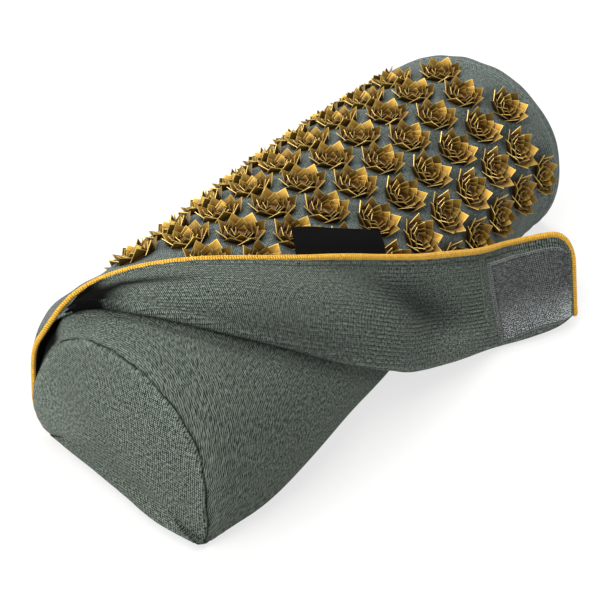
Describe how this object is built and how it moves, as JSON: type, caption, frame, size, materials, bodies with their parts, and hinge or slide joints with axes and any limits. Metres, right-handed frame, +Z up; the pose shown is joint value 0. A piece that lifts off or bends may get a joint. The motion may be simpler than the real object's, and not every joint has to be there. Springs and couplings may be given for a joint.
{
  "type": "acupressure cushion",
  "caption": "Stuffed bolster with D-shaped ends in a removable wrap carrying rows of spiked rosettes; the wrap's piped loose end is folded back to show its lining and hook patch",
  "frame": {"origin": "centre of the cushion's flat base, on the floor", "axes": "+X along the cushion toward the end with the plain seam, +Z up, -Y the side the flap lies on"},
  "size_m": [0.4647, 0.2597, 0.1265],
  "materials": {
    "filling": "loose fibre",
    "cover": "plain cotton twill",
    "wrap": "cotton twill",
    "lining": "ribbed cotton lining",
    "piping": "twill covered cord",
    "spikes": "satin golden brown",
    "hook_tape": "hook tape",
    "label": "woven label"
  },
  "bodies": {
    "cushion": {"filling": "filling", "inner_cover_tube": "cover", "inner_cover_base": "cover", "near_end_panel": "cover", "inner_far_end_panel": "cover", "wrap_panel": "wrap", "wrap_base_panel": "wrap", "far_end_panel": "wrap", "spike_row_1": "spikes", "spike_row_2": "spikes", "spike_row_3": "spikes", "spike_row_4": "spikes", "spike_row_5": "spikes", "spike_row_6": "spikes", "spike_row_7": "spikes", "spike_row_8": "spikes", "flap_near": "lining", "wrap_piping": "piping", "loop_patch": "hook_tape", "label": "label"},
    "flap": {"flap_far": "lining", "flap_piping": "piping", "hem_strip": "lining"},
    "tab": {"tab_cloth": "lining", "tab_piping": "piping", "hook_patch": "hook_tape"}
  },
  "joints": [
    {"name": "flap_swing", "type": "hinge", "parent": "cushion", "child": "flap", "pos_m": [-0.0428, -0.102, 0.068], "axis": [-0.5721, -0.2942, -0.7656], "range_deg": [0, 50]},
    {"name": "tab_fold", "type": "hinge", "parent": "flap", "child": "tab", "pos_m": [0.0437, -0.1207, 0.0354], "axis": [-0.3507, -0.3726, -0.8592], "range_deg": [0, 50]}
  ]
}
